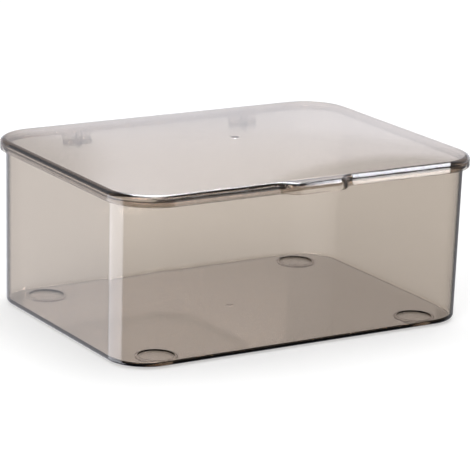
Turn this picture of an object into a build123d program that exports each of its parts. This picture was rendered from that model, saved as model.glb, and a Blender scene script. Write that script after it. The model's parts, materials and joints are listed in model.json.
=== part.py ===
from build123d import *
import math
import os

# Storage box for a tea set: a clear tub on four low feet, and a crowned flip lid with a thumb tab.
# Millimetres, +Z up. X runs along the width, the thumb tab points to -Y, the hinges are at +Y.
# The pieces are made about the middle of the lid's rectangle. They are then set back by half of
# the tab's reach, so that the origin is on the table under the middle of the whole box.

# Lid, outside
lid_width = 300.0
lid_depth = 223.0
lid_corner_radius = 35.0
lid_skirt_height = 8.0
lid_edge_round = 3.5
lid_crown = 5.7
lid_panel = 2.2
skirt_wall = 1.8

# Seat ring under the lid, inside the skirt, which rests on the tub's rim
seat_width = 2.7

# Thumb tab at the middle of the front
tab_reach = 8.0
tab_front_width = 32.0
tab_root_width = 62.0

# Tub: its rim flange stands inside the skirt, and its walls lean out by the draft
body_height = 116.7
draft_angle = 0.7
tub_wall = 2.0
tub_floor = 2.2
outer_base_round = 3.0
inner_base_round = 2.5
rim_corner_radius = 31.0
rim_lap = 3.0
rim_inner_round = 0.6
flange_side_width = 1.2
flange_end_width = 3.7
flange_thickness = 2.8
flange_round = 1.0
flange_gap = 0.5

# Feet under the floor, hollowed from inside
foot_radius = 15.0
foot_height = 1.5
foot_round = 0.6
foot_side_inset = 35.0
foot_end_inset = 22.0
foot_skin = 2.4
foot_wall = 2.0

# Mould gate marks at the middle of the lid and of the floor's underside
gate_dish_radius = 3.5
gate_dish_depth = 0.35
gate_nub_radius = 1.1
gate_nub_height = 0.3

# Hinges
hinge_spacing = 146.0
hinge_drop = 7.2
knuckle_radius = 2.5
knuckle_wall_gap = 0.35
leaf_root_width = 26.0
leaf_foot_width = 22.0
pin_radius = 1.0
pin_clearance = 0.05
pin_end_inset = 0.5
lug_width = 4.4
lug_side_gap = 0.3
lug_crown_gap = 0.6
lug_web_drop = 0.8
open_angle = 105.0
stop_gap = 0.1

# Heights
base_z = foot_height
floor_z = base_z + tub_floor
skirt_z = base_z + body_height
rim_z = skirt_z + rim_lap
shoulder_z = skirt_z + lid_skirt_height
flange_z = rim_z - flange_thickness

# The tub's walls: their half sizes at the rim, and how far they draw in on the way down
flange_inset = skirt_wall + flange_gap
rim_half_x = lid_width / 2 - flange_inset - flange_side_width
rim_half_y = lid_depth / 2 - flange_inset - flange_end_width
draft_slope = math.tan(math.radians(draft_angle))
base_draw = (rim_z - base_z) * draft_slope
floor_draw = (rim_z - floor_z) * draft_slope

# The hinge axis, clear of the rear wall by the knuckle and its gap
axis_z = skirt_z - hinge_drop
axis_y = rim_half_y + knuckle_wall_gap + knuckle_radius
rear_y = lid_depth / 2
rear_reach = rear_y - axis_y

# The knuckles' square heel is the lid's stop: its corner meets the drafted wall at the open angle
open_turn = math.radians(open_angle)
contact_z = axis_z - rear_reach * math.sin(open_turn)
wall_distance = axis_y - rim_half_y + (rim_z - contact_z) * draft_slope
heel_drop = (wall_distance - stop_gap + rear_reach * math.cos(open_turn)) / math.sin(open_turn)
sides = (-1, 1)


def lid_rectangle(inset, low, high):
    """Block on the lid's rounded rectangle, drawn in by inset all round."""
    width = lid_width - 2 * inset
    depth = lid_depth - 2 * inset
    outline = RectangleRounded(width, depth, lid_corner_radius - inset)
    return Pos(0, 0, low) * extrude(outline, amount=high - low)


def tab_block(inset, low, high):
    """Thumb tab in plan, drawn in by inset: a flat front between two S curves of equal arcs."""
    run = (tab_root_width - tab_front_width) / 2
    turn = 2 * math.atan2(tab_reach, run)
    root_y = -lid_depth / 2 + inset
    front_y = root_y - tab_reach
    middle_x = -(tab_root_width + tab_front_width) / 4 + inset * math.sin(turn)
    middle_y = -(lid_depth + tab_reach) / 2 + inset * math.cos(turn)
    root = (-tab_root_width / 2, root_y)
    front = (-tab_front_width / 2, front_y)
    root_arc = TangentArc(root, (middle_x, middle_y), tangent=(1, 0))
    front_arc = TangentArc((middle_x, middle_y), front, tangent=root_arc % 1)
    back_y = root_y + tab_reach
    rest = Polyline(front, (0, front_y), (0, back_y), (root[0], back_y), root)
    left = make_face([root_arc, front_arc, *rest.edges()])
    return Pos(0, 0, low) * extrude(left + mirror(left, Plane.YZ), amount=high - low)


def lid_block(inset, low, high):
    """Block on the whole lid outline, thumb tab included, drawn in by inset."""
    return lid_rectangle(inset, low, high) + tab_block(inset, low, high)


def crown_block(z):
    """The crown's cap on a shoulder at z, inside the rounded edge.

    It rises by lid_crown * (1 - (x / half_x)^2) * (1 - (y / half_y)^2). That is a patch of degree
    two each way, so its three by three control points are exact: on a control point, a squared
    coordinate is the product of the two ends that it blends.
    """
    half_x = lid_width / 2 - lid_edge_round
    half_y = lid_depth / 2 - lid_edge_round
    ends_x = ((-lid_width, -lid_width), (-lid_width, lid_width), (lid_width, lid_width))
    ends_y = ((-lid_depth, -lid_depth), (-lid_depth, lid_depth), (lid_depth, lid_depth))
    points = []
    for left, right in ends_x:
        across = 1 - left * right / half_x**2
        row = []
        for front, back in ends_y:
            rise = lid_crown * across * (1 - front * back / half_y**2)
            row.append(((left + right) / 2, (front + back) / 2, z + rise))
        points.append(row)
    above = Solid.extrude(Face.make_bezier_surface(points), Vector(0, 0, lid_depth))
    return lid_rectangle(lid_edge_round, z - lid_panel / 2, z + 2 * lid_crown) - above


def gate_dish(z, outward):
    """Shallow round dish for a face at z that looks up (1) or down (-1)."""
    radius = (gate_dish_radius**2 + gate_dish_depth**2) / (2 * gate_dish_depth)
    return Pos(0, 0, z + outward * (radius - gate_dish_depth)) * Sphere(radius)


def gate_nub(z, outward):
    """Nub that the broken gate leaves in the middle of its dish, rooted as deep as it is high."""
    middle_z = z - outward * gate_dish_depth
    return Pos(0, 0, middle_z) * Cylinder(gate_nub_radius, 2 * gate_nub_height)


def hinge_bar(x, radius, length):
    """Round bar along X on the hinge axis, with its middle at x."""
    return Pos(x, axis_y, axis_z) * Rot(0, 90, 0) * Cylinder(radius, length)


def box_between(low, high):
    """Plain box from its lowest corner to its highest."""
    size = Vector(*high) - Vector(*low)
    middle = (Vector(*low) + Vector(*high)) / 2
    return Pos(middle) * Box(size.X, size.Y, size.Z)


def hinge_leaf(x):
    """Leaf that hangs from the rear skirt, flared above its barrel and square heel."""
    foot_z = axis_z - heel_drop
    neck_z = axis_z + knuckle_radius
    half_foot = leaf_foot_width / 2
    flare = (leaf_root_width / 2 - half_foot) * (rim_z - neck_z) / (skirt_z - neck_z)
    half_top = half_foot + flare
    right = [(half_top, rim_z), (half_foot, neck_z), (half_foot, foot_z)]
    left = [(-across, z) for across, z in reversed(right)]
    outline = make_face(Polyline(*right, *left, close=True))
    plate = Pos(x, rear_y, 0) * (Plane.XZ * extrude(outline, amount=skirt_wall))
    heel = box_between((x - half_foot, axis_y, foot_z), (x + half_foot, rear_y, axis_z))
    return plate + heel + hinge_bar(x, knuckle_radius, leaf_foot_width)


def leaf_slot(x):
    """Slot that parts the leaf's foot into two knuckles and clears the tub's lug."""
    half = lug_width / 2 + lug_side_gap
    reach = knuckle_radius + lug_crown_gap
    return box_between(
        (x - half, rim_half_y, axis_z - reach),
        (x + half, rear_y + skirt_wall, axis_z + reach),
    )


def hinge_lug(x):
    """Lug on the tub's rear wall: an eye on a web that runs up to the flange and down the wall."""
    root_y = rim_half_y - tub_wall / 2
    top_z = flange_z + flange_thickness / 2
    low_z = axis_z - knuckle_radius
    profile = [
        (root_y, low_z - lug_web_drop),
        (axis_y, low_z),
        (axis_y, top_z),
        (root_y, top_z),
    ]
    web = Plane.YZ * extrude(make_face(Polyline(*profile, close=True)), lug_width / 2, both=True)
    return Pos(x, 0, 0) * web + hinge_bar(x, knuckle_radius, lug_width)


def foot():
    """Low round foot, rounded where it meets the table."""
    height = base_z + tub_floor / 2
    disc = Pos(0, 0, height / 2) * Cylinder(foot_radius, height)
    return fillet(disc.edges().sort_by(Axis.Z)[0], foot_round)


def foot_hollow():
    """Round hollow in the floor over a foot, which leaves an even skin."""
    depth = floor_z - foot_skin
    return Pos(0, 0, floor_z) * Cylinder(foot_radius - foot_wall, 2 * depth)


def tub_block(wall, draw, low):
    """Drafted block inside the tub's walls, from low to the rim; draw is its shrink at low."""
    inset = wall + draw
    outline = RectangleRounded(
        2 * (rim_half_x - inset), 2 * (rim_half_y - inset), rim_corner_radius - inset
    )
    return Pos(0, 0, low) * extrude(outline, amount=rim_z - low, taper=-draft_angle)


def make_tub():
    body = tub_block(0, base_draw, base_z)
    tub = fillet(body.faces().sort_by(Axis.Z)[0].edges(), outer_base_round)
    flange = lid_rectangle(flange_inset, flange_z, rim_z)
    level = flange.faces().sort_by(Axis.Z)
    tub = tub + fillet(level[0].edges() + level[-1].edges(), flange_round)
    for side in sides:
        tub = tub + hinge_lug(side * hinge_spacing / 2)

    hollow = tub_block(tub_wall, floor_draw, floor_z)
    tub = tub - fillet(hollow.faces().sort_by(Axis.Z)[0].edges(), inner_base_round)
    mouth = tub.faces().filter_by(Plane.XY).sort_by(Axis.Z)[-1].inner_wires()[0]
    tub = fillet(mouth.edges(), rim_inner_round)

    foot_x = rim_half_x - base_draw - foot_side_inset
    foot_y = rim_half_y - base_draw - foot_end_inset
    for x in (-foot_x, foot_x):
        for y in (-foot_y, foot_y):
            tub = tub + Pos(x, y, 0) * foot() - Pos(x, y, 0) * foot_hollow()
    tub = tub - gate_dish(base_z, -1) + gate_nub(base_z, -1)
    for side in sides:
        bore_length = lug_width + 2 * lug_side_gap
        tub = tub - hinge_bar(side * hinge_spacing / 2, pin_radius + pin_clearance, bore_length)
    return tub


def make_lid():
    plate = lid_block(0, skirt_z, shoulder_z)
    plate = fillet(plate.faces().sort_by(Axis.Z)[-1].edges(), lid_edge_round)
    outside = plate + crown_block(shoulder_z)
    panel_z = shoulder_z - lid_panel
    inside = lid_block(skirt_wall, skirt_z - lid_panel, panel_z) + crown_block(panel_z)
    seat = lid_rectangle(skirt_wall / 2, rim_z, shoulder_z - lid_panel / 2)
    seat = seat - lid_rectangle(skirt_wall + seat_width, skirt_z, shoulder_z)
    lid = outside - inside + seat
    crown_z = shoulder_z + lid_crown
    lid = lid - gate_dish(crown_z, 1) + gate_nub(crown_z, 1)
    for side in sides:
        x = side * hinge_spacing / 2
        lid = lid + hinge_leaf(x) - leaf_slot(x) - hinge_bar(x, pin_radius, leaf_foot_width)
    return lid


def make_pin(x):
    """Pin held in both knuckles of the leaf at x, drawn in from their ends."""
    return hinge_bar(x, pin_radius, leaf_foot_width - 2 * pin_end_inset)


pieces = {
    "tub": make_tub(),
    "lid": make_lid(),
    "hinge_pin_left": make_pin(-hinge_spacing / 2),
    "hinge_pin_right": make_pin(hinge_spacing / 2),
}
os.makedirs("parts", exist_ok=True)
for name, piece in pieces.items():
    export_step(Pos(0, tab_reach / 2, 0) * piece, f"parts/{name}.step")
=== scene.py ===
import json
import math

import bmesh
import bpy
import numpy as np
from mathutils import Matrix, Vector


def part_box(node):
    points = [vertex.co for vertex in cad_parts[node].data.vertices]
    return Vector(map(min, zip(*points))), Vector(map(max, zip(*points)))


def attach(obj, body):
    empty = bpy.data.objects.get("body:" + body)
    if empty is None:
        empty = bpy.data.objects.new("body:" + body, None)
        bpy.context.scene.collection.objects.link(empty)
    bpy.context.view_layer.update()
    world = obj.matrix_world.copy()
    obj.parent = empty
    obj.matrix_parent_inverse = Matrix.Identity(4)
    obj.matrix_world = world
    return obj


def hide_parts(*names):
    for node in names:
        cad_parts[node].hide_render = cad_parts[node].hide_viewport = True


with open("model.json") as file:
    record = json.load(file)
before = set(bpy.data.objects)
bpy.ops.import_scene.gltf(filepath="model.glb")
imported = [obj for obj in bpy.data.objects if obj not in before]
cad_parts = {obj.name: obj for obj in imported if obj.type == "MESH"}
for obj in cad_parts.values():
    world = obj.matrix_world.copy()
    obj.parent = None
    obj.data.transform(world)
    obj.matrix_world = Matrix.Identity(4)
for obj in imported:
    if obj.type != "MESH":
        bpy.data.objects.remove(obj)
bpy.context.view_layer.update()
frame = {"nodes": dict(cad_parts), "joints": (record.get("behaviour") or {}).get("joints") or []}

# Sizes are in millimetres, in the frame's own axes: X is the width, -Y the front with the thumb tab,
# +Z is up and zero is what the box stands on. One factor takes them to metres.
MM = 0.001

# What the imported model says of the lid, the tub and the hinge
lid_low, lid_high = (np.array(corner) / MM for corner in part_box("lid"))
pin_low, pin_high = (np.array(corner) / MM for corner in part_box("hinge_pin_right"))
rim_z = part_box("tub")[1][2] / MM
hinge = np.array(frame["joints"][0]["pos_m"]) / MM

# Lid
tab_reach = 8.0
tab_front = 32.0
tab_root = 62.0
lid_corner = 35.0
edge_round = 3.5
crown = 5.7
panel = 2.2
skirt = 1.8
skirt_height = 8.0
skirt_lip = 0.4
seat_width = 2.7
seat_gap = 0.05
lid_half = np.array([lid_high[0], (lid_high[1] - lid_low[1] - tab_reach) / 2])
middle_y = tab_reach / 2
shoulder_z = lid_high[2] - crown
skirt_z = shoulder_z - skirt_height

# Tub. The flange's width is how far it stands out of the ends' walls, and of the front and rear walls.
wall = 2.0
floor = 2.2
draft = math.tan(math.radians(0.7))
rim_corner = 31.0
rim_inner_round = 0.6
flange_gap = 0.5
flange_thickness = 2.8
flange_round = 1.0
flange_width = np.array([1.2, 3.7])
base_round = 3.0
inner_base_round = 2.5
foot_height = 1.5
foot_radius = 15.0
foot_round = 0.6
foot_skin = 2.4
foot_wall = 2.0
foot_inset = np.array([35.0, 22.0])
base_z = foot_height
floor_z = base_z + floor
flange_z = rim_z - flange_thickness
flange_half = lid_half - skirt - flange_gap
flange_corner = lid_corner - skirt - flange_gap
rim_half = flange_half - flange_width
foot_place = rim_half - (rim_z - base_z) * draft - foot_inset

# Gate marks, in the middle of the lid and of the floor's underside
dish_radius = 3.5
dish_depth = 0.35
nub_radius = 1.1
nub_height = 0.3

# Hinges
hinge_x = (pin_low[0] + pin_high[0]) / 2
knuckle = 2.5
knuckle_half_width = 11.0
leaf_half_width = 13.0
heel_drop = 2.17
slot_half_width = 2.5
slot_reach = 3.1
lug_half_width = 2.2
lug_web_drop = 0.8
pin_bore = 1.04

# How many steps the curves and the sides are divided into
corner_steps = 28
ramp_steps = 12
fillet_steps = 6
circle_steps = 64
end_side_steps = 12
front_side_steps = 16
tab_front_steps = 4
lid_side_steps = 8

# How far a cutting tool runs past a face, how deep a joined one is sunk into it, how near two points
# that count as one are, and how far off an axis a point still counts as on it
overrun = 1.0
buried = 0.01
merge_reach = 0.001
tiny = 1e-9

# The rings that fill a face. Over the lid and the tub's underside they fade from the face's edge into a
# circle of fade_radius, by these shares of the way out. The circle then shrinks by fade_shares to the gate
# mark, whose cone and nub have shares of their own radius. Inside the tub the floor's edge only shrinks.
lid_shares = np.array([1, 0.99, 0.97, 0.94, 0.9, 0.84, 0.76, 0.66, 0.55, 0.44, 0.33, 0.22, 0.12, 0.05])
base_shares = np.array([0.05, 0.15, 0.3, 0.6, 0.85])
fade_radius = 3 * dish_radius
fade_shares = np.array([0.8, 0.6, 0.45])
cone_shares = np.linspace(1, 0.34, 5)
nub_shares = np.array([1, 0.85, 0.65, 0.45, 0.2, 0])
floor_shares = np.array([0.85, 0.6, 0.3, 0])

# The etched part of the lid's underside: how far in from the lid's rounded edge it begins, and how near
# to the underside's depth a point of it is
matt_inset = 2.0
matt_reach = 0.5

# Edges that turn by more than this stay crisp
crisp_angle = math.radians(28)


def straight(start, end, steps):
    """Points from start to just before end: start * (1 - t) + end * t, with t evenly spaced."""
    t = np.arange(steps)[:, None] / steps
    return np.asarray(start) * (1 - t) + np.asarray(end) * t


def turn(centre, radius, first, last, steps):
    """Points on a circle, centre + radius * (cos, sin), from the first angle to just before the last."""
    a = np.radians(first + (last - first) * np.arange(steps) / steps)
    return np.asarray(centre) + radius * np.stack([np.cos(a), np.sin(a)], -1)


def rounded_rectangle(half, corner):
    """Closed outline, anticlockwise from above: four quarter circles, each followed by a straight side."""
    centres = (np.asarray(half) - corner) * np.array([(1, -1), (1, 1), (-1, 1), (-1, -1)])
    pieces = []
    for quarter, steps in enumerate((end_side_steps, front_side_steps) * 2):
        first = quarter * 90 - 90
        pieces.append(turn(centres[quarter], corner, first, first + 90, corner_steps))
        a = np.radians(first + 90)
        out = corner * np.array([np.cos(a), np.sin(a)])
        pieces.append(straight(centres[quarter] + out, centres[(quarter + 1) % 4] + out, steps))
    return np.concatenate(pieces)


def rectangle(across, along):
    """A rectangle's corners, anticlockwise: each limit across with each limit along."""
    return [(across[i], along[j]) for i, j in ((0, 0), (1, 0), (1, 1), (0, 1))]


def unit_circle(outline):
    """The unit circle's points, (cos, sin), at the angles of an outline's points."""
    angle = np.arctan2(outline[:, 1], outline[:, 0])
    return np.stack([np.cos(angle), np.sin(angle)], -1)


def profile_arc(centre, radius, first, last):
    """Part of a fillet in a profile, as (inset, height) pairs: centre + radius * (-cos, sin).

    0 degrees faces out and 90 up.
    """
    a = np.radians(np.linspace(first, last, fillet_steps + 1))
    return [(centre[0] - radius * c, centre[1] + radius * s) for c, s in zip(np.cos(a), np.sin(a))]


def raise_ring(outline, z):
    """A plan outline about the lid's middle, set in its place at height z."""
    heights = np.broadcast_to(np.asarray(z, float), len(outline))
    return np.column_stack([outline[:, 0], outline[:, 1] + middle_y, heights])


def tub_outline(inset):
    """The tub's rim outline, drawn in by inset."""
    return rounded_rectangle(rim_half - inset, rim_corner - inset)


def tub_ring(inset, z):
    """The tub's rim outline drawn in by inset, at height z."""
    return raise_ring(tub_outline(inset), z)


def flange_ring(inset, z):
    """The flange's outline drawn in by inset, at height z."""
    return raise_ring(rounded_rectangle(flange_half - inset, flange_corner - inset), z)


def skin(rings):
    """Faces between each ring and the next. Rings run anticlockwise, and go out, up, in and down."""
    rings = np.asarray(rings)
    rows, around = rings.shape[:2]
    row = np.arange(rows - 1)[:, None] * around
    here = np.arange(around)[None, :]
    ahead = (here + 1) % around
    faces = np.stack([row + here, row + ahead, row + around + ahead, row + around + here], -1)
    return rings.reshape(-1, 3), faces.reshape(-1, 4)


def make_piece(name, points, faces):
    """A mesh object at the origin, from points in millimetres. Points that meet are made one."""
    mesh = bpy.data.meshes.new(name)
    mesh.from_pydata((np.asarray(points) * MM).tolist(), [], [list(face) for face in faces])
    piece = bpy.data.objects.new(name, mesh)
    bpy.context.scene.collection.objects.link(piece)
    work = bmesh.new()
    work.from_mesh(mesh)
    bmesh.ops.remove_doubles(work, verts=work.verts, dist=merge_reach * MM)
    work.to_mesh(mesh)
    work.free()
    return piece


def combine(piece, tool, operation):
    """Joins a closed tool to a closed piece, or cuts it away, and removes the tool."""
    step = piece.modifiers.new("combine", "BOOLEAN")
    step.operation = operation
    step.solver = "EXACT"
    step.object = tool
    graph = bpy.context.evaluated_depsgraph_get()
    made = bpy.data.meshes.new_from_object(piece.evaluated_get(graph), depsgraph=graph)
    piece.modifiers.clear()
    piece.data = made
    bpy.data.objects.remove(tool)


def disc_ring(radius, z):
    """A circle about the upright axis, at height z."""
    circle = turn((0, 0), radius, 0, 360, circle_steps)
    return np.column_stack([circle, np.full(circle_steps, z)])


def turned(name, profile, places):
    """Closed turned pieces on upright axes: (radius, height) pairs from the foot's middle to the top's."""
    rings = np.array([disc_ring(radius, z) for radius, z in profile])
    points, faces = [], []
    for count, place in enumerate(places):
        part, quads = skin(rings + (place[0], place[1], 0))
        points.append(part)
        faces.append(quads + count * len(part))
    return make_piece(name, np.concatenate(points), np.concatenate(faces))


def hinge_bars(name, outline, caps, half_width):
    """Closed bars along X at both hinges: an outline in (Y, Z) about the hinge axis, between two ends.

    A point of the outline is at its half_width to the left and right of the hinge's middle. caps lists
    the faces of an end, as numbers of the outline's points.
    """
    outline = np.asarray(outline, float)
    count = len(outline)
    y, z = hinge[1] + outline[:, 0], hinge[2] + outline[:, 1]
    here = np.arange(count)
    ahead = (here + 1) % count
    sides = np.stack([here, ahead, ahead + count, here + count], -1)
    points, faces = [], []
    for start, centre in ((0, -hinge_x), (2 * count, hinge_x)):
        points.append(np.column_stack([centre - half_width, y, z]))
        points.append(np.column_stack([centre + half_width, y, z]))
        faces += (sides + start).tolist()
        faces += [[start + i for i in reversed(cap)] for cap in caps]
        faces += [[start + count + i for i in cap] for cap in caps]
    return make_piece(name, np.concatenate(points), faces)


def plain_bars(name, outline, half_width):
    """Bars at both hinges with flat square ends, all at one half_width."""
    count = len(outline)
    return hinge_bars(name, outline, [list(range(count))], np.full(count, half_width))


def cut_bores(piece, half_width):
    """Drills the pins' bores through a piece, at both hinges."""
    bore = turn((0, 0), pin_bore, 0, 360, circle_steps // 2)
    combine(piece, plain_bars("bores", bore, half_width), "DIFFERENCE")


def gate_mark():
    """A gate mark's (radius, depth) pairs, from its edge to its middle.

    It is a shallow cone, dish_depth * (1 - r / dish_radius) deep, with a round nub left in it. The nub is
    part of a ball that is set to meet the cone: its radius, dome, is (nub_radius^2 + rise^2) / (2 * rise).
    """
    foot = dish_depth * (1 - nub_radius / dish_radius)
    rise = foot - dish_depth + nub_height
    dome = (nub_radius**2 + rise**2) / (2 * rise)
    mark = [(r, dish_depth * (1 - r / dish_radius)) for r in dish_radius * cone_shares]
    for r in nub_radius * nub_shares:
        mark.append((r, dish_depth - nub_height + dome - math.sqrt(dome**2 - r**2)))
    return mark


def make_tub():
    """The tub as one closed skin: a profile of (inset, height) pairs carried round the rim's outline.

    It runs from the underside's middle out and up the drafted wall, round the flange and the mouth,
    and down the inside to the floor's middle. Feet, hinge lugs and bores are joined and cut after it.
    """
    lean = math.degrees(math.atan(draft))
    slant = math.hypot(1, draft)

    def wall_inset(z):
        """How far the leaning wall is drawn in at height z: (rim_z - z) * draft."""
        return (rim_z - z) * draft

    base = base_z + base_round
    outer_foot = (wall_inset(base) + base_round * slant, base)
    inner = floor_z + inner_base_round
    inner_foot = (wall + wall_inset(inner) + inner_base_round * slant, inner)

    edge = tub_outline(outer_foot[0])
    circle = unit_circle(edge)
    rings = [raise_ring(circle * radius, base_z + depth) for radius, depth in gate_mark()[::-1]]
    for share in base_shares:
        rings.append(raise_ring(circle * fade_radius * (1 - share) + edge * share, base_z))
    outer = profile_arc(outer_foot, base_round, -90, -lean)
    outer.append((wall_inset(flange_z), flange_z))
    rings += [tub_ring(*place) for place in outer]
    low_edge = profile_arc((flange_round, flange_z + flange_round), flange_round, -90, 0)
    high_edge = profile_arc((flange_round, rim_z - flange_round), flange_round, 0, 90)
    rings += [flange_ring(*place) for place in low_edge + high_edge]
    mouth = profile_arc((wall - rim_inner_round, rim_z - rim_inner_round), rim_inner_round, 90, 180)
    inside = profile_arc(inner_foot, inner_base_round, -lean, -90)
    rings += [tub_ring(*place) for place in mouth + inside]
    rings += [raise_ring(tub_outline(inner_foot[0]) * share, floor_z) for share in floor_shares]
    tub = make_piece("clear_tub", *skin(rings))

    feet = [(sx * foot_place[0], middle_y + sy * foot_place[1]) for sx in (-1, 1) for sy in (-1, 1)]
    sole = profile_arc((0, foot_round), foot_round, -90, 0)
    in_floor = base_z + floor / 2
    foot = [(0, 0)] + [(foot_radius - foot_round - inset, z) for inset, z in sole]
    foot += [(foot_radius, in_floor), (0, in_floor)]
    combine(tub, turned("feet", foot, feet), "UNION")
    hollow = rectangle((0, foot_radius - foot_wall), (foot_skin, floor_z + floor))
    combine(tub, turned("hollows", hollow, feet), "DIFFERENCE")

    # A lug runs from within the rear wall and the flange to a round eye behind the hinge axis. The eye's
    # arc is drawn a little past its top and ends where it would come in front of the axis.
    root = rim_half[1] - wall / 2 - (hinge[1] - middle_y)
    top = flange_z + flange_thickness / 2 - hinge[2]
    past_top = 95
    eye = turn((0, 0), knuckle, -90, past_top, 2 * corner_steps)
    eye = eye[eye[:, 0] >= -tiny]
    lug = np.concatenate([[(root, -knuckle - lug_web_drop)], eye, [(0, top), (root, top)]])
    combine(tub, plain_bars("lugs", lug, lug_half_width), "UNION")
    cut_bores(tub, lug_half_width + overrun)
    return tub


def lid_outline():
    """The lid's plan, anticlockwise from the middle of the tab: points, outward normals, tab mask.

    The tab's flat front meets the lid's front by two S curves, each of two equal arcs. With run for half
    of the curve's width, an arc's radius is (run^2 + tab_reach^2) / (4 * tab_reach), and it turns through
    twice the angle whose tangent is tab_reach / run.
    """
    run = (tab_root - tab_front) / 2
    arc = (run**2 + tab_reach**2) / (4 * tab_reach)
    swing = math.degrees(2 * math.atan2(tab_reach, run))
    front = -lid_half[1]
    tab_y = front - tab_reach
    corner_x = lid_half[0] - lid_corner
    corner_y = front + lid_corner
    tip = (tab_front / 2, tab_y + arc)
    nook = (tab_root / 2, front - arc)
    flat = straight((0, tab_y), (tab_front / 2, tab_y), tab_front_steps)
    convex = turn(tip, arc, -90, -90 + swing, ramp_steps)
    concave = turn(nook, arc, 90 + swing, 90, ramp_steps)
    level = straight((tab_root / 2, front), (corner_x, front), lid_side_steps)
    bend = turn((corner_x, corner_y), lid_corner, -90, 0, corner_steps)
    side = straight((lid_half[0], corner_y), (lid_half[0], 0), lid_side_steps)
    down = np.array([0.0, -1.0])
    half = np.concatenate([flat, convex, concave, level, bend, side])
    normals = np.concatenate([
        np.broadcast_to(down, flat.shape),
        (convex - tip) / arc,
        (nook - concave) / arc,
        np.broadcast_to(down, level.shape),
        (bend - (corner_x, corner_y)) / lid_corner,
        np.broadcast_to((1.0, 0.0), side.shape),
    ])
    tab = np.zeros(len(half), bool)
    tab[: len(flat) + len(convex) + len(concave)] = True

    # The rear right quarter mirrors the front right one, without the tab
    plain = half.copy()
    plain[tab, 1] = front
    plain_normals = normals.copy()
    plain_normals[tab] = down
    flip_y = np.array([1, -1])
    rear = np.concatenate([[(lid_half[0], 0.0)], (plain * flip_y)[:0:-1]])
    rear_normals = np.concatenate([[(1.0, 0.0)], (plain_normals * flip_y)[:0:-1]])
    right = np.concatenate([half, rear])
    right_normals = np.concatenate([normals, rear_normals])
    right_tab = np.concatenate([tab, np.zeros(len(rear), bool)])

    # The left half mirrors the right one
    flip_x = np.array([-1, 1])
    left = np.concatenate([[(0.0, lid_half[1])], (right * flip_x)[:0:-1]])
    left_normals = np.concatenate([[(0.0, 1.0)], (right_normals * flip_x)[:0:-1]])
    left_tab = np.concatenate([[False], right_tab[:0:-1]])
    return (
        np.concatenate([right, left]),
        np.concatenate([right_normals, left_normals]),
        np.concatenate([right_tab, left_tab]),
    )


def crown_rise(x, y):
    """Height of the crown over its shoulder: crown * (1 - (x / half)^2) * (1 - (y / half)^2)."""
    half = lid_half - edge_round
    return crown * (1 - (x / half[0]) ** 2) * (1 - (y / half[1]) ** 2)


def crown_rings(edge, z, mark):
    """Rings from the edge to the middle, at z plus the crown's rise: the outline fades into circles.

    A ring's plan is circle * fade_radius * (1 - share) + edge * share. mark lists (radius, depth) pairs
    for the last rings, which are sunk into the face.
    """
    circle = unit_circle(edge)
    plans = [(circle * fade_radius * (1 - share) + edge * share, 0) for share in lid_shares]
    plans += [(circle * radius, 0) for radius in fade_radius * fade_shares]
    plans += [(circle * radius, depth) for radius, depth in mark]
    return [raise_ring(plan, z + crown_rise(*plan.T) - depth) for plan, depth in plans]


def make_lid():
    """The lid as one closed skin: a profile of (inset, height) pairs carried round the lid's outline.

    It runs from the panel's underside out over the seat ring, down the skirt's inside, round its lip,
    up its outside and over the rounded edge to the top's middle. The hinge leaves are joined after it.
    """
    outline, normals, tab = lid_outline()
    panel_z = shoulder_z - panel
    seat_z = rim_z + seat_gap
    behind_tab = -lid_half[1] + skirt / 2

    def whole(inset):
        """The outline with the tab, drawn in by inset: points - inset * normals."""
        return outline - inset * normals

    def plain(inset):
        """The outline drawn in by inset, and straight where the tab is."""
        points = whole(inset)
        points[tab, 0] = outline[tab, 0]
        points[tab, 1] = -lid_half[1] + inset
        return points

    inner = plain(skirt + seat_width)
    no_mark = [(radius, 0) for radius in (3.0, 1.5, 0)]
    rings = crown_rings(inner, panel_z, no_mark)[::-1]
    rings.append(raise_ring(inner, seat_z))

    # The thumb tab's hollow lies in front of the seat ring
    wall_in = whole(skirt)
    back = wall_in.copy()
    back[tab, 1] = np.maximum(wall_in[tab, 1], behind_tab)
    deep = tab & (wall_in[:, 1] < behind_tab)
    ceiling = np.where(deep, panel_z, seat_z)
    rings.append(raise_ring(back, seat_z))
    rings.append(raise_ring(back, ceiling))
    rings.append(raise_ring(wall_in, ceiling))
    rings.append(raise_ring(wall_in, seat_z))
    inner_lip = profile_arc((skirt - skirt_lip, skirt_z + skirt_lip), skirt_lip, 180, 270)
    outer_lip = profile_arc((skirt_lip, skirt_z + skirt_lip), skirt_lip, -90, 0)
    shoulder = profile_arc((edge_round, shoulder_z - edge_round), edge_round, 0, 90)
    rings += [raise_ring(whole(inset), z) for inset, z in inner_lip + outer_lip + shoulder]
    top_edge = plain(edge_round)
    top_edge[tab, 0] = whole(edge_round)[tab, 0]
    rings += crown_rings(top_edge, shoulder_z, gate_mark())
    lid = make_piece("clear_lid", *skin(rings))

    combine(lid, make_leaves(), "UNION")
    mark_matt_face(lid)
    return lid


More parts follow.
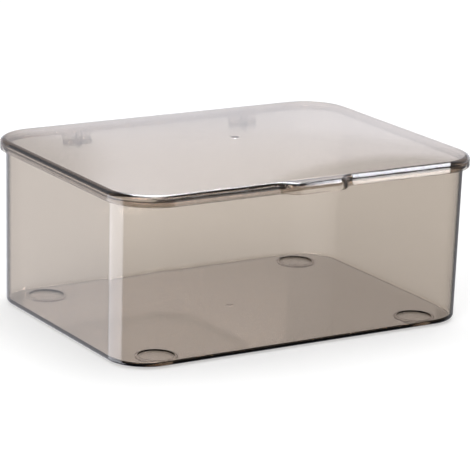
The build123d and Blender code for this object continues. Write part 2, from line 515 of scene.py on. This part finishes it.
def make_leaves():
    """Both hinge leaves: a plate, flared over its foot, with a barrel and a square heel.

    The plate's half width is knuckle_half_width at the barrel's top and grows evenly above it.
    """
    rear = lid_half[1] + middle_y - hinge[1] - buried
    front = rear - skirt + 2 * buried
    top = rim_z - hinge[2] - skirt / 2
    neck = knuckle
    meet = math.degrees(math.acos(front / knuckle))
    heel = -math.degrees(math.asin(heel_drop / knuckle))
    barrel = turn((0, 0), knuckle, meet, heel + 360, 2 * corner_steps)
    outline = np.concatenate([
        [(rear, top), (front, top), (front, neck)],
        barrel,
        [(math.sqrt(knuckle**2 - heel_drop**2), -heel_drop), (rear, -heel_drop), (rear, neck)],
    ])
    last = len(outline) - 1
    caps = [[0, 1, 2, last], list(range(2, last + 1))]
    flare = (leaf_half_width - knuckle_half_width) / (skirt_z - hinge[2] - neck)
    widths = knuckle_half_width + flare * np.maximum(outline[:, 1] - neck, 0)
    leaves = hinge_bars("leaves", outline, caps, widths)

    slot = rectangle((-knuckle - overrun, rear + overrun), (-slot_reach, slot_reach))
    combine(leaves, plain_bars("slots", slot, slot_half_width), "DIFFERENCE")
    cut_bores(leaves, knuckle_half_width + overrun)
    return leaves


def mark_matt_face(lid):
    """Sets the attribute matt to 1 on the panel's underside, within the seat ring, and to 0 elsewhere.

    The underside's points are those whose depth below the crowned top is the panel's thickness, give or
    take matt_reach.
    """
    points = np.empty(3 * len(lid.data.vertices))
    lid.data.vertices.foreach_get("co", points)
    x, y, z = points.reshape(-1, 3).T / MM
    depth = shoulder_z + crown_rise(x, y - middle_y) - z
    within = lid_half - edge_round - matt_inset
    inside = (np.abs(x) < within[0]) & (np.abs(y - middle_y) < within[1])
    matt = (depth > panel - matt_reach) & (depth < panel + matt_reach) & inside
    lid.data.attributes.new("matt", "FLOAT", "POINT").data.foreach_set("value", matt.astype(float))


def linear(hex_colour):
    """An sRGB hex colour as linear red, green and blue, with full alpha.

    A part c of the colour, from 0 to 1, becomes c / 12.92 up to 0.04045, and above that
    ((c + 0.055) / 1.055)^2.4.
    """
    parts = np.array([int(hex_colour[i : i + 2], 16) for i in (1, 3, 5)]) / 255
    curve = np.where(parts <= 0.04045, parts / 12.92, ((parts + 0.055) / 1.055) ** 2.4)
    return (*curve, 1.0)


white = linear("#FFFFFF")


def add(tree, kind, settings=None, **inputs):
    """Adds a node with its settings, and links or sets its inputs by name, or by number as _0."""
    node = tree.nodes.new(kind)
    for key, value in (settings or {}).items():
        setattr(node, key, value)
    for key, value in inputs.items():
        numbered = key[0] == "_" and key[1:].isdigit()
        socket = node.inputs[int(key[1:])] if numbered else node.inputs[key.replace("_", " ")]
        if isinstance(value, bpy.types.NodeSocket):
            tree.links.new(value, socket)
        else:
            socket.default_value = value
    return node


def new_material(name):
    """An empty node material, and its tree."""
    material = bpy.data.materials.new(name)
    material.use_nodes = True
    material.node_tree.nodes.clear()
    return material, material.node_tree


# Clear styrene plastic, moulded on a polished steel tool: clean mirror-like gloss, slow waves that the
# flow into the mould leaves in the surface, and a smoke tint that deepens along edges and doubled walls.
# The lid's underside is a little etched, which softens what is seen through it. Lengths are in
# millimetres: flow_length and polish_patch are the size of a wave and of a patch.
flow_length = 40.0
flow_height = 0.012
polish_patch = 9.0
polish_roughness = (0.01, 0.05)
etched_roughness = 0.04
styrene_ior = 1.57
smoke_tint = linear("#A7854A")
smoke_density = 205.0


def smoke_styrene():
    """Roughness is the polish's, which varies in patches, plus etched_roughness * matt."""
    material, tree = new_material("smoke_styrene_polished_mould")
    place = add(tree, "ShaderNodeTexCoord").outputs["Object"]
    flow = add(tree, "ShaderNodeTexNoise", Vector=place, Scale=1 / (flow_length * MM), Detail=1.0)
    waves = add(tree, "ShaderNodeBump", Strength=1.0, Distance=flow_height * MM, Height=flow.outputs["Fac"])
    patches = add(tree, "ShaderNodeTexNoise", Vector=place, Scale=1 / (polish_patch * MM), Detail=3.0)
    polished = add(
        tree,
        "ShaderNodeMapRange",
        Value=patches.outputs["Fac"],
        To_Min=polish_roughness[0],
        To_Max=polish_roughness[1],
    )
    matt = add(tree, "ShaderNodeAttribute", {"attribute_name": "matt"}).outputs["Fac"]
    etched = add(tree, "ShaderNodeMath", {"operation": "MULTIPLY"}, _0=matt, _1=etched_roughness)
    rough = add(
        tree, "ShaderNodeMath", {"operation": "ADD"}, _0=polished.outputs["Result"], _1=etched.outputs[0]
    )
    shader = add(
        tree,
        "ShaderNodeBsdfPrincipled",
        Base_Color=white,
        Roughness=rough.outputs[0],
        IOR=styrene_ior,
        Transmission_Weight=1.0,
        Normal=waves.outputs["Normal"],
    )
    smoke = add(tree, "ShaderNodeVolumeAbsorption", Color=smoke_tint, Density=smoke_density)
    add(tree, "ShaderNodeOutputMaterial", Surface=shader.outputs["BSDF"], Volume=smoke.outputs["Volume"])
    return material


# Bright stainless wire, drawn through a die: the die leaves fine lines along it, which soften its gloss.
# They are drawn_line millimetres apart, coarser than real ones, which would be too fine to show.
wire_bright = linear("#C8C8C6")
drawn_line = 0.15
drawn_stretch = 0.02
drawn_roughness = (0.18, 0.34)


def pin_steel():
    """Roughness follows noise stretched along X, so that it lies in lines along the pin."""
    material, tree = new_material("stainless_drawn_wire")
    place = add(tree, "ShaderNodeTexCoord").outputs["Object"]
    along = add(tree, "ShaderNodeMapping", Vector=place, Scale=(drawn_stretch, 1, 1))
    lines = add(
        tree, "ShaderNodeTexNoise", Vector=along.outputs["Vector"], Scale=1 / (drawn_line * MM), Detail=2.0
    )
    rough = add(
        tree,
        "ShaderNodeMapRange",
        Value=lines.outputs["Fac"],
        To_Min=drawn_roughness[0],
        To_Max=drawn_roughness[1],
    )
    shader = add(
        tree,
        "ShaderNodeBsdfPrincipled",
        Base_Color=wire_bright,
        Metallic=1.0,
        Roughness=rough.outputs["Result"],
    )
    add(tree, "ShaderNodeOutputMaterial", Surface=shader.outputs["BSDF"])
    return material


def finish_piece(piece, body, node, material):
    """Smooth faces with crisp edges, evenly weighted normals, the material, and the body it rides on."""
    mesh = piece.data
    mesh.shade_smooth()
    mesh.set_sharp_from_angle(angle=crisp_angle)
    even = piece.modifiers.new("even_normals", "WEIGHTED_NORMAL")
    even.keep_sharp = True
    mesh.materials.clear()
    mesh.materials.append(material)
    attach(piece, body)
    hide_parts(node)


# The studio, as gloss and the inside of the plastic mirror it: each light or card is a level and
# the limits it keeps to, and a limit is a direction, its lowest and highest share of a ray, and how
# soft that edge is. 2 and -2 are past every ray, and hold nothing back. Away from all of them the room
# is dim. behind and beside are level: straight back and to the right, seen from the camera's side.
behind = (0.5255, 0.8508, 0)
beside = (0.8508, -0.5255, 0)
leftward = (-1, 0, 0)
rightward = (1, 0, 0)
rearward = (0, 1, 0)
upward = (0, 0, 1)
beside_and_up = (0.8508, -0.5255, 0.327)
room_level = 0.05
mirrored_tint = linear("#F6F7FF")
studio = {
    "paper_sweep": (
        1.07,
        [(behind, 0.3, 2, 0.25), (upward, -0.12, 0.2, 0.05)],
    ),
    "sweep_below_left": (
        1.15,
        [(behind, 0.3, 2, 0.25), (beside, -2, 0.05, 0.05), (upward, -2, -0.12, 0.05)],
    ),
    "sweep_below_right": (
        0.35,
        [(behind, 0.3, 2, 0.25), (beside, 0.05, 2, 0.05), (upward, -2, -0.12, 0.05)],
    ),
    "sweep_right_glow": (
        0.22,
        [(behind, 0.3, 2, 0.25), (beside, 0.03, 0.5, 0.05), (upward, 0, 0.2, 0.05)],
    ),
    "silk_over_sweep": (
        0.6,
        [(behind, 0.3, 2, 0.25), (upward, 0.2, 0.75, 0.05)],
    ),
    "rear_softbox": (
        0.58,
        [
            (behind, 0, 2, 0.1),
            (beside, -0.083, 2, 0.022),
            (beside_and_up, -2, 0.178, 0.012),
            (upward, 0.2, 0.66, 0.06),
        ],
    ),
    "rear_lamp": (
        26.0,
        [(behind, 0.1, 2, 0.1), (beside, -0.12, 0.12, 0.03), (upward, 0.54, 0.85, 0.03)],
    ),
    "left_card": (
        4.0,
        [(leftward, 0.5, 2, 0.1), (rearward, 0.06, 0.77, 0.06), (upward, -0.8, 0, 0.05)],
    ),
    "right_strip": (
        16.0,
        [(rightward, 0.535, 0.605, 0.01), (rearward, -0.83, 0.2, 0.04), (upward, 0.27, 0.86, 0.03)],
    ),
    "front_strip": (
        7.0,
        [(rightward, 0.40, 0.525, 0.02), (rearward, -0.9, -0.4, 0.05), (upward, 0.3, 0.38, 0.02)],
    ),
    "overhead_softbox": (
        2.5,
        [(upward, 0.94, 2, 0.03)],
    ),
    "front_silk": (
        0.3,
        [(behind, -2, 0.05, 0.2), (upward, 0.05, 0.6, 0.1)],
    ),
}

# Two thin strip lights, low in front: each one's X limits, Z limits and level, and the plane they are in
edge_strips = {
    "edge_strip_left": ((20, 194), (41.5, 62), 1.7),
    "edge_strip_right": ((194, 303), (44.5, 80), 7.0),
}
edge_strip_y = -347.5

# The paper floor lies just under the box. Its grey is lit like any surface, and the glow that rays see
# on top of it brings it to white beside the box's shadow. Rays straight off gloss pass through it, and
# those that then went through plastic see it dim.
paper_grey = linear("#CBCBCB")
paper_glow = 0.45
paper_mirrored = 0.08
paper_half = 8000.0
paper_z = -0.1

# Light from all round, which lights surfaces, and the white that rays see beyond them
room_light = 0.75
backdrop_white = 1.0

# A ray that gloss has turned back at least once has a Glossy Depth over this
turned_once = 0.5


def studio_light(tree):
    """The room's level plus every light's: each is its level times a smooth step at each of its limits.

    A step goes from 0 to 1 as the ray's share of the direction passes from soft outside the limit to
    soft inside it.
    """
    ray = add(tree, "ShaderNodeTexCoord").outputs["Generated"]
    total = room_level
    for level, limits in studio.values():
        light = level
        for direction, low, high, soft in limits:
            product = add(tree, "ShaderNodeVectorMath", {"operation": "DOT_PRODUCT"}, _0=ray, _1=direction)
            for edge, inside in ((low, 1.0), (high, -1.0)):
                step = add(
                    tree,
                    "ShaderNodeMapRange",
                    {"interpolation_type": "SMOOTHSTEP"},
                    Value=product.outputs["Value"],
                    From_Min=edge - inside * soft,
                    From_Max=edge + inside * soft,
                ).outputs[0]
                light = add(tree, "ShaderNodeMath", {"operation": "MULTIPLY"}, _0=step, _1=light).outputs[0]
        total = add(tree, "ShaderNodeMath", {"operation": "ADD"}, _0=total, _1=light).outputs[0]
    return total


def by_ray(tree, lit, seen, mirrored):
    """Picks a shader by ray: seen, mirrored or lit.

    The eye's own rays and those through clear plastic get seen, until gloss or the plastic's inside has
    turned them back, and then mirrored. All others get lit.
    """
    path = add(tree, "ShaderNodeLightPath").outputs
    shown = path["Is Camera Ray"]
    for kind in ("Is Glossy Ray", "Is Transmission Ray"):
        shown = add(tree, "ShaderNodeMath", {"operation": "MAXIMUM"}, _0=shown, _1=path[kind]).outputs[0]
    depth = path["Glossy Depth"]
    turned_back = add(tree, "ShaderNodeMath", {"operation": "GREATER_THAN"}, _0=depth, _1=turned_once)
    background = add(tree, "ShaderNodeMixShader", Fac=turned_back.outputs[0], _1=seen, _2=mirrored)
    return add(tree, "ShaderNodeMixShader", Fac=shown, _1=lit, _2=background.outputs[0]).outputs[0]


def make_floor():
    """A flat square of white paper, which gloss doesn't mirror."""
    corners = [(x, y, paper_z) for x, y in rectangle((-paper_half, paper_half), (-paper_half, paper_half))]
    paper_sheet = make_piece("studio_floor", corners, [[0, 1, 2, 3]])
    material, tree = new_material("studio_paper")
    paper = add(tree, "ShaderNodeBsdfDiffuse", Color=paper_grey).outputs[0]
    glow = add(tree, "ShaderNodeEmission", Color=white, Strength=paper_glow).outputs[0]
    seen = add(tree, "ShaderNodeAddShader", _0=paper, _1=glow).outputs[0]
    dim = add(tree, "ShaderNodeEmission", Color=white, Strength=paper_mirrored).outputs[0]
    add(tree, "ShaderNodeOutputMaterial", Surface=by_ray(tree, paper, seen, dim))
    paper_sheet.data.materials.append(material)
    paper_sheet.visible_glossy = False


def make_edge_strip(name, across, upright, level):
    """A thin strip light that shows only where gloss turns a ray to it, as the lid's skirt does."""
    corners = [(x, edge_strip_y, z) for x, z in rectangle(across, upright)]
    strip = make_piece(name, corners, [[0, 1, 2, 3]])
    material, tree = new_material(name + "_light")
    path = add(tree, "ShaderNodeLightPath").outputs
    depth = path["Glossy Depth"]
    turned_back = add(tree, "ShaderNodeMath", {"operation": "GREATER_THAN"}, _0=depth, _1=turned_once)
    clear = add(tree, "ShaderNodeBsdfTransparent").outputs[0]
    glow = add(tree, "ShaderNodeEmission", Color=white, Strength=level).outputs[0]
    shown = add(tree, "ShaderNodeMixShader", Fac=turned_back.outputs[0], _1=clear, _2=glow).outputs[0]
    add(tree, "ShaderNodeOutputMaterial", Surface=shown)
    material.cycles.emission_sampling = "NONE"
    strip.data.materials.append(material)


def make_world():
    """Even light all round, white to the eye, and the studio to rays that gloss has turned back."""
    world = bpy.data.worlds.new("studio")
    bpy.context.scene.world = world
    world.use_nodes = True
    tree = world.node_tree
    tree.nodes.clear()
    lit = add(tree, "ShaderNodeBackground", Color=white, Strength=room_light).outputs[0]
    seen = add(tree, "ShaderNodeBackground", Color=white, Strength=backdrop_white).outputs[0]
    cards = add(tree, "ShaderNodeBackground", Color=mirrored_tint, Strength=studio_light(tree)).outputs[0]
    add(tree, "ShaderNodeOutputWorld", Surface=by_ray(tree, lit, seen, cards))


# Two softboxes, in metres and watts: each one's place and its width and depth. Both face the box.
softboxes = {
    "left_softbox": ((-1.8, -1.2, 1.6), (1.2, 1.2)),
    "top_softbox": ((0.6, 0.4, 2.4), (1.6, 1.2)),
}
softbox_power = 20
softbox_aim = (0, 0, 0.08)


def make_softbox(name, place, size):
    """An area lamp turned to softbox_aim. It lights surfaces, but neither the eye nor gloss sees it."""
    data = bpy.data.lights.new(name, "AREA")
    data.shape = "RECTANGLE"
    data.size, data.size_y = size
    data.energy = softbox_power
    lamp = bpy.data.objects.new(name, data)
    bpy.context.scene.collection.objects.link(lamp)
    lamp.location = place
    lamp.rotation_euler = (Vector(softbox_aim) - Vector(place)).to_track_quat("-Z", "Y").to_euler()
    lamp.visible_glossy = False
    lamp.visible_transmission = False
    lamp.visible_camera = False


# Camera, as fitted to the photograph's outlines of the box. farthest is in metres.
view_azimuth = math.radians(-31.724)
view_elevation = math.radians(15.283)
view_roll = math.radians(1.864)
view_distance = 2032.2
view_aim = np.array([0.0, middle_y, 61.5])
view_shift = (2.453, -3.787)
focal_px = 2738.4
frame_px = 470
sensor = 36.0
farthest = 100


def make_camera():
    """A camera whose place is the aim + the shift right and up + the distance back, then rolled.

    back, right and up are the view's own directions, from its azimuth and elevation.
    """
    a, e = view_azimuth, view_elevation
    back = np.array([math.sin(a) * math.cos(e), -math.cos(a) * math.cos(e), math.sin(e)])
    right = np.array([math.cos(a), math.sin(a), 0])
    up = np.cross(back, right)
    place = view_aim + view_shift[0] * right + view_shift[1] * up + view_distance * back
    c, s = math.cos(view_roll), math.sin(view_roll)
    axes = np.column_stack([c * right + s * up, c * up - s * right, back])
    data = bpy.data.cameras.new("camera")
    data.sensor_width = sensor
    data.lens = focal_px * sensor / frame_px
    data.clip_end = farthest
    camera = bpy.data.objects.new("camera", data)
    bpy.context.scene.collection.objects.link(camera)
    camera.matrix_world = Matrix.Translation(place * MM) @ Matrix(axes.tolist()).to_4x4()
    bpy.context.scene.camera = camera


make_camera()
plastic = smoke_styrene()
finish_piece(make_tub(), "tub", "tub", plastic)
finish_piece(make_lid(), "lid", "lid", plastic)
steel = pin_steel()
for node in ("hinge_pin_left", "hinge_pin_right"):
    frame["nodes"][node].data.materials.clear()
    frame["nodes"][node].data.materials.append(steel)

make_floor()
for name, strip in edge_strips.items():
    make_edge_strip(name, *strip)
make_world()
for name, softbox in softboxes.items():
    make_softbox(name, *softbox)

# Light passes many walls of clear plastic before it reaches the eye
scene = bpy.context.scene
scene.view_settings.view_transform = "Standard"
scene.cycles.max_bounces = 32
scene.cycles.transmission_bounces = 32
scene.cycles.glossy_bounces = 12
